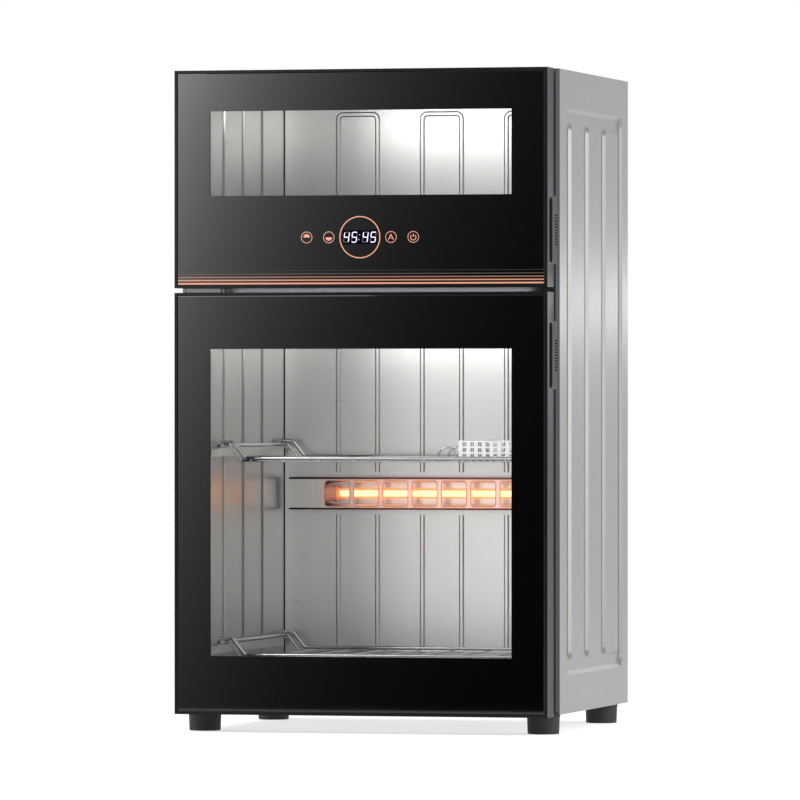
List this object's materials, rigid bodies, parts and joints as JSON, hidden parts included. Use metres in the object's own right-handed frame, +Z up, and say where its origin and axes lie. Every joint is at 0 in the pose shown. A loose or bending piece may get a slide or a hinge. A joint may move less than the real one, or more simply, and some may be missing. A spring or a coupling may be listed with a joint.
{
  "type": "dish sterilizer cabinet",
  "caption": "Free-standing dish sterilizer cabinet with hinged glass doors over stainless chambers, wire racks, a glowing heating tube and a touch display.",
  "frame": {"origin": "on the floor, under the middle of the cabinet's bounding box", "axes": "+X to the right, +Y to the back, +Z up; doors face -Y"},
  "size_m": [0.4264, 0.394, 0.726],
  "materials": {
    "casing_grey": "satin powder coat",
    "bezel_dark": "satin powder coat",
    "galvanised": "bare galvanised sheet",
    "chamber_steel": "bright stainless sheet",
    "rack_wire": "polished stainless wire",
    "frame_black": "dark anodised",
    "door_glass": "black printed tempered glass with a clear window",
    "door_inner": "satin dark paint",
    "seal_rubber": "matt silicone",
    "handle_plastic": "fine moulded texture",
    "hinge_steel": "nickel plated",
    "bush_plastic": "moulded acetal",
    "quartz_tube": "glowing quartz tube",
    "ceramic": "matt ceramic",
    "foot_rubber": "moulded rubber",
    "electric_plastic": "moulded plastic",
    "board_green": "circuit board"
  },
  "bodies": {
    "cabinet": {"back_panel": "galvanised", "base_panel": "galvanised", "board_standoffs": "electric_plastic", "cable_gland": "electric_plastic", "door_switches": "electric_plastic", "feet": "foot_rubber", "front_bezel": "bezel_dark", "heater_caps": "ceramic", "heater_clips": "chamber_steel", "heater_guard": "chamber_steel", "heater_tube": "quartz_tube", "hinge_bracket_bottom": "hinge_steel", "hinge_bracket_middle": "hinge_steel", "hinge_bracket_top": "hinge_steel", "hinge_pins": "hinge_steel", "lower_ceiling": "chamber_steel", "lower_floor": "chamber_steel", "lower_rack_rails": "chamber_steel", "lower_rear_wall": "chamber_steel", "lower_wall_left": "chamber_steel", "lower_wall_right": "chamber_steel", "ozone_generator": "electric_plastic", "power_board": "board_green", "screws": "hinge_steel", "side_panel_left": "casing_grey", "side_panel_right": "casing_grey", "thermal_cutouts": "ceramic", "top_panel": "casing_grey", "upper_ceiling": "chamber_steel", "upper_floor": "chamber_steel", "upper_heater_plate": "hinge_steel", "upper_rack_rails": "chamber_steel", "upper_rear_wall": "chamber_steel", "upper_wall_left": "chamber_steel", "upper_wall_right": "chamber_steel"},
    "bottom_rack": {"bottom_rack": "rack_wire"},
    "cutlery_basket": {"cutlery_basket": "chamber_steel"},
    "upper_door": {"display_module": "board_green", "upper_door_bottom_rail": "frame_black", "upper_door_bushes": "bush_plastic", "upper_door_glass": "door_glass", "upper_door_handle": "handle_plastic", "upper_door_handle_stile": "frame_black", "upper_door_hinge_stile": "frame_black", "upper_door_liner": "door_inner", "upper_door_seal": "seal_rubber", "upper_door_top_rail": "frame_black"},
    "lower_door": {"lower_door_bottom_rail": "frame_black", "lower_door_bushes": "bush_plastic", "lower_door_glass": "door_glass", "lower_door_handle": "handle_plastic", "lower_door_handle_stile": "frame_black", "lower_door_hinge_stile": "frame_black", "lower_door_liner": "door_inner", "lower_door_seal": "seal_rubber", "lower_door_top_rail": "frame_black"},
    "lower_switch_plunger": {"lower_switch_plunger": "electric_plastic"},
    "middle_rack": {"middle_rack": "rack_wire"},
    "upper_rack": {"upper_rack": "rack_wire"},
    "upper_switch_plunger": {"upper_switch_plunger": "electric_plastic"}
  },
  "joints": [
    {"name": "upper_door_hinge", "type": "hinge", "parent": "cabinet", "child": "upper_door", "pos_m": [-0.196, -0.181, 0.60665], "axis": [0, 0, -1], "range_deg": [0, 105]},
    {"name": "lower_door_hinge", "type": "hinge", "parent": "cabinet", "child": "lower_door", "pos_m": [-0.196, -0.181, 0.2511], "axis": [0, 0, -1], "range_deg": [0, 105]},
    {"name": "upper_rack_slide", "type": "slide", "parent": "cabinet", "child": "upper_rack", "axis": [0, -1, 0], "range_m": [0, 0.057]},
    {"name": "middle_rack_slide", "type": "slide", "parent": "cabinet", "child": "middle_rack", "axis": [0, -1, 0], "range_m": [0, 0.057]},
    {"name": "bottom_rack_slide", "type": "slide", "parent": "cabinet", "child": "bottom_rack", "axis": [0, -1, 0], "range_m": [0, 0.057]},
    {"name": "cutlery_basket_lift", "type": "slide", "parent": "middle_rack", "child": "cutlery_basket", "axis": [0, 0, 1], "range_m": [0, 0.06]},
    {"name": "upper_switch_travel", "type": "slide", "parent": "cabinet", "child": "upper_switch_plunger", "axis": [0, -1, 0], "range_m": [0, 0.0026]},
    {"name": "lower_switch_travel", "type": "slide", "parent": "cabinet", "child": "lower_switch_plunger", "axis": [0, -1, 0], "range_m": [0, 0.0026]}
  ],
  "couplings": [
    {"joint": "upper_switch_travel", "follows": "upper_door_hinge", "m_per_rad": 0.001364},
    {"joint": "lower_switch_travel", "follows": "lower_door_hinge", "m_per_rad": 0.001364}
  ]
}
